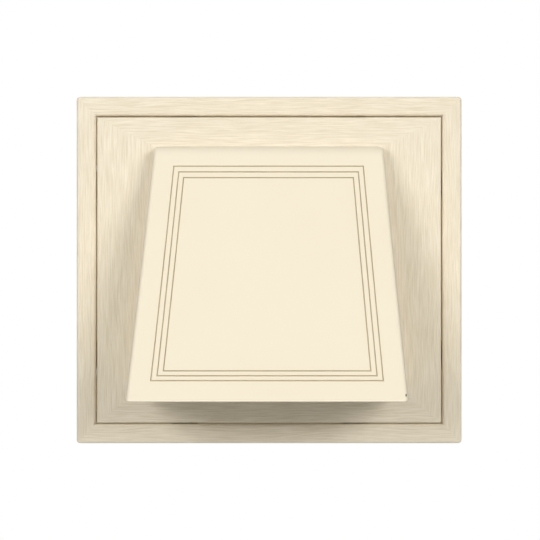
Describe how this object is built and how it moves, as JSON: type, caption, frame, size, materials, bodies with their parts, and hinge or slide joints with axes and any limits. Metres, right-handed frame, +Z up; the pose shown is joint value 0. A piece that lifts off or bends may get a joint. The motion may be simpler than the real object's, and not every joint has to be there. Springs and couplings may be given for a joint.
{
  "type": "hooded exhaust vent",
  "caption": "Wall-mounted hooded exhaust vent with a bevelled base, clip-on trim ring, tail pipe and hinged back-draft flap.",
  "frame": {"origin": "on the centre line of the duct, in the plane of the wall", "axes": "+X across the vent to the right as seen from the front, +Y into the wall along the duct, +Z up"},
  "size_m": [0.216, 0.1443, 0.1944],
  "materials": {
    "cream_plastic": "satin, with a moulded wood grain on the ring and the bevels",
    "inner_plastic": "plain satin",
    "screw_steel": "zinc plated"
  },
  "bodies": {
    "vent": {"hood_body": "cream_plastic", "trim_ring": "cream_plastic", "duct_collar": "inner_plastic", "collar_screws": "screw_steel"},
    "flap": {"damper_flap": "inner_plastic"}
  },
  "joints": [
    {"name": "flap_hinge", "type": "hinge", "parent": "vent", "child": "flap", "pos_m": [0, -0.014, 0.056], "axis": [-1, 0, 0], "range_deg": [0, 34]}
  ]
}
